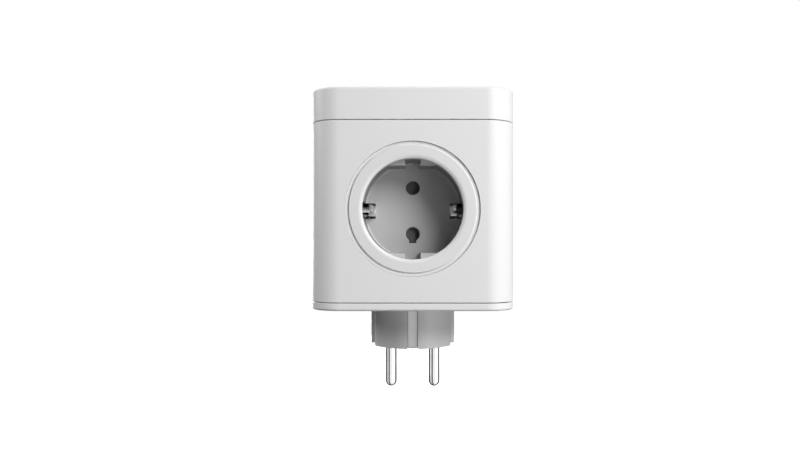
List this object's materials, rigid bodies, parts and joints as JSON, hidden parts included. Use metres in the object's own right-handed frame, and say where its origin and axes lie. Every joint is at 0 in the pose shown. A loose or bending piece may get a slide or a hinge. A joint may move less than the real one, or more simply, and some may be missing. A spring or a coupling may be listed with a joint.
{
  "type": "plug in power meter",
  "caption": "Cube-shaped plug-through energy meter with an earthed plug below, recessed earthed sockets in its sides and a display with push buttons on its end cap.",
  "frame": {"origin": "centre of the plug's engagement face, between the two pins", "axes": "+Z away from the wall socket, towards the display; -Y is the front socket; +X to the right of it"},
  "size_m": [0.08, 0.08, 0.1241],
  "materials": {
    "blue_insulation": "blue",
    "bright_can": "stamped can",
    "brown_insulation": "brown",
    "button_plastic": "mid grey, fine gloss",
    "capacitor_case": "yellow box",
    "capacitor_sleeve": "dark sleeve",
    "chip_moulding": "black epoxy",
    "circuit_board": "green solder mask",
    "connector_rubber": "dark, striped",
    "contact_brass": "bright",
    "diffuser_plastic": "milky",
    "display_glass": "grey-green liquid crystal cell",
    "earth_nickel": "nickel plated strip",
    "green_insulation": "green and yellow",
    "housing_plastic": "white, fine satin texture",
    "insulator_plastic": "natural ivory",
    "plug_earth_nickel": "satin nickel strip",
    "plug_pin_nickel": "polished nickel",
    "plug_plastic": "light grey, satin",
    "screw_steel": "zinc plated",
    "shunt_alloy": "copper alloy",
    "shutter_plastic": "dark grey",
    "socket_plastic": "white, satin",
    "spring_steel": "drawn wire",
    "switch_plastic": "black",
    "varistor_coating": "blue epoxy",
    "window_acrylic": "clear, polished"
  },
  "bodies": {
    "body": {"backup_cell": "bright_can", "base_plate": "housing_plastic", "base_screws": "screw_steel", "buffer_capacitor": "capacitor_sleeve", "connector_strips": "connector_rubber", "crystal": "bright_can", "display_backlight": "diffuser_plastic", "display_module": "display_glass", "display_window": "window_acrylic", "earth_clips_back": "earth_nickel", "earth_clips_front": "earth_nickel", "earth_clips_left": "earth_nickel", "earth_clips_right": "earth_nickel", "earth_ring": "earth_nickel", "earth_wire": "green_insulation", "inner_screws": "screw_steel", "live_bus_bar": "contact_brass", "live_wires": "brown_insulation", "lower_contact_block": "insulator_plastic", "main_housing": "housing_plastic", "meter_board": "circuit_board", "meter_chips": "chip_moulding", "neutral_bus_bar": "contact_brass", "neutral_wires": "blue_insulation", "plug_body": "plug_plastic", "plug_earth_bow": "plug_earth_nickel", "plug_pin_live": "plug_pin_nickel", "plug_pin_neutral": "plug_pin_nickel", "shunt": "shunt_alloy", "shutter_retainer_back": "insulator_plastic", "shutter_retainer_front": "insulator_plastic", "shutter_retainer_left": "insulator_plastic", "shutter_retainer_right": "insulator_plastic", "shutter_spring_back": "spring_steel", "shutter_spring_front": "spring_steel", "shutter_spring_left": "spring_steel", "shutter_spring_right": "spring_steel", "socket_floor_back": "socket_plastic", "socket_floor_front": "socket_plastic", "socket_floor_left": "socket_plastic", "socket_floor_right": "socket_plastic", "socket_insert_back": "socket_plastic", "socket_insert_front": "socket_plastic", "socket_insert_left": "socket_plastic", "socket_insert_right": "socket_plastic", "supply_capacitor": "capacitor_case", "switch_bodies": "switch_plastic", "top_cap": "housing_plastic", "upper_contact_block": "insulator_plastic", "varistor": "varistor_coating"},
    "shutter_front": {"shutter_front": "shutter_plastic"},
    "shutter_right": {"shutter_right": "shutter_plastic"},
    "shutter_back": {"shutter_back": "shutter_plastic"},
    "shutter_left": {"shutter_left": "shutter_plastic"},
    "button_left": {"button_left": "button_plastic", "switch_plunger_left": "switch_plastic"},
    "button_middle": {"button_middle": "button_plastic", "switch_plunger_middle": "switch_plastic"},
    "button_right": {"button_right": "button_plastic", "switch_plunger_right": "switch_plastic"}
  },
  "joints": [
    {"name": "shutter_front_slide", "type": "slide", "parent": "body", "child": "shutter_front", "axis": [-1, 0, 0], "range_m": [0, 0.0062], "stiffness_N_per_m": 60, "springref_m": -0.003, "deforming": ["shutter_spring_front"]},
    {"name": "shutter_right_slide", "type": "slide", "parent": "body", "child": "shutter_right", "axis": [0, -1, 0], "range_m": [0, 0.0062], "stiffness_N_per_m": 60, "springref_m": -0.003, "deforming": ["shutter_spring_right"]},
    {"name": "shutter_back_slide", "type": "slide", "parent": "body", "child": "shutter_back", "axis": [1, 0, 0], "range_m": [0, 0.0062], "stiffness_N_per_m": 60, "springref_m": -0.003, "deforming": ["shutter_spring_back"]},
    {"name": "shutter_left_slide", "type": "slide", "parent": "body", "child": "shutter_left", "axis": [0, 1, 0], "range_m": [0, 0.0062], "stiffness_N_per_m": 60, "springref_m": -0.003, "deforming": ["shutter_spring_left"]},
    {"name": "button_left_press", "type": "slide", "parent": "body", "child": "button_left", "axis": [0, 0, -1], "range_m": [0, 0.0006], "stiffness_N_per_m": 500, "springref_m": -0.001},
    {"name": "button_middle_press", "type": "slide", "parent": "body", "child": "button_middle", "axis": [0, 0, -1], "range_m": [0, 0.0006], "stiffness_N_per_m": 500, "springref_m": -0.001},
    {"name": "button_right_press", "type": "slide", "parent": "body", "child": "button_right", "axis": [0, 0, -1], "range_m": [0, 0.0006], "stiffness_N_per_m": 500, "springref_m": -0.001}
  ]
}
